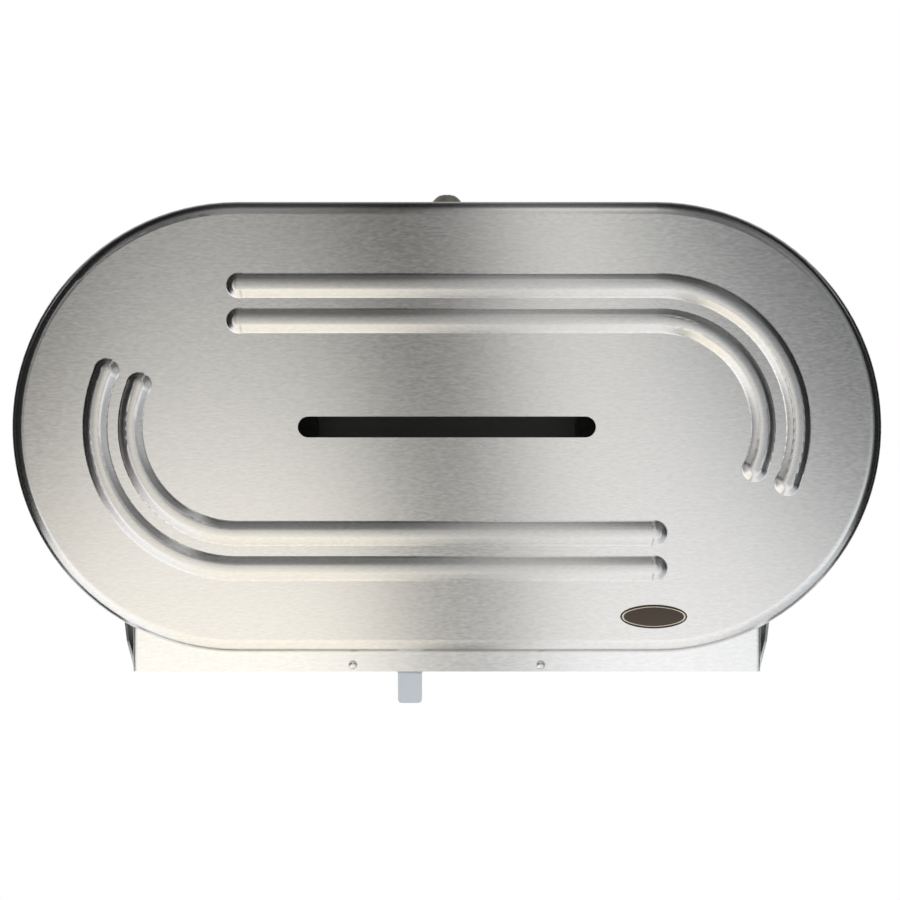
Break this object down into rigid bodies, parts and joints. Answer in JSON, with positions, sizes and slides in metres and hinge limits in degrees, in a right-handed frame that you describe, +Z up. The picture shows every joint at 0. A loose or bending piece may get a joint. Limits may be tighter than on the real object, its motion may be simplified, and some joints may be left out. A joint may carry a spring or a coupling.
{
  "type": "twin jumbo toilet roll dispenser",
  "caption": "Wall-mounted stainless steel twin jumbo toilet roll dispenser with a drop-down ribbed cover, key lock, turning roll hubs and a sliding shutter over toothed paper exits.",
  "frame": {"origin": "middle of the four wall screws on the back face of the back plate, level with the roll axles", "axes": "+X to the right seen from the front, +Y into the wall, +Z up; the front faces -Y"},
  "size_m": [0.527, 0.1302, 0.3122],
  "materials": {
    "plate_steel": "satin stainless sheet",
    "cover_steel": "horizontally brushed stainless sheet",
    "apron_steel": "horizontally brushed stainless sheet",
    "bar_steel": "bright stainless strip",
    "fastener_steel": "bright turned steel",
    "lock_metal": "dull plated zinc",
    "shutter_plastic": "pale translucent moulding",
    "hub_plastic": "dark moulding",
    "washer_nylon": "natural nylon"
  },
  "bodies": {
    "wall_unit": {"back_plate": "plate_steel", "left_hinge_ear": "plate_steel", "right_hinge_ear": "plate_steel", "ear_rivets": "fastener_steel", "left_hinge_pin": "fastener_steel", "right_hinge_pin": "fastener_steel", "left_hinge_washer": "washer_nylon", "right_hinge_washer": "washer_nylon", "lock_strike": "plate_steel", "strike_rivets": "fastener_steel", "left_axle": "fastener_steel", "right_axle": "fastener_steel", "left_axle_rivets": "fastener_steel", "right_axle_rivets": "fastener_steel", "left_axle_clip": "fastener_steel", "right_axle_clip": "fastener_steel", "left_drag_washer": "fastener_steel", "right_drag_washer": "fastener_steel"},
    "cover": {"cover_shell": "cover_steel", "apron_bracket": "apron_steel", "throat_floor": "apron_steel", "left_tear_bar": "bar_steel", "centre_tear_bar": "bar_steel", "right_tear_bar": "bar_steel", "shutter_screws": "fastener_steel", "shutter_washers": "fastener_steel", "shutter_nuts": "fastener_steel", "lock_barrel": "lock_metal", "lock_nut": "fastener_steel"},
    "shutter": {"shutter_panel": "shutter_plastic"},
    "lock_key_plug": {"lock_plug": "lock_metal", "lock_cam": "bar_steel", "cam_screw": "fastener_steel"},
    "left_hub": {"left_core_hub": "hub_plastic"},
    "right_hub": {"right_core_hub": "hub_plastic"}
  },
  "joints": [
    {"name": "cover_hinge", "type": "hinge", "parent": "wall_unit", "child": "cover", "pos_m": [0, -0.014, -0.139], "axis": [1, 0, 0], "range_deg": [0, 80]},
    {"name": "lock_turn", "type": "hinge", "parent": "cover", "child": "lock_key_plug", "pos_m": [0, -0.07, 0.13], "axis": [0, 0, -1], "range_deg": [0, 90]},
    {"name": "shutter_slide", "type": "slide", "parent": "cover", "child": "shutter", "axis": [1, 0, 0], "range_m": [-0.0216, 0.0664]},
    {"name": "left_hub_spin", "type": "hinge", "parent": "wall_unit", "child": "left_hub", "pos_m": [-0.127, -0.06, 0], "axis": [0, 1, 0], "continuous": true},
    {"name": "right_hub_spin", "type": "hinge", "parent": "wall_unit", "child": "right_hub", "pos_m": [0.127, -0.06, 0], "axis": [0, 1, 0], "continuous": true}
  ]
}
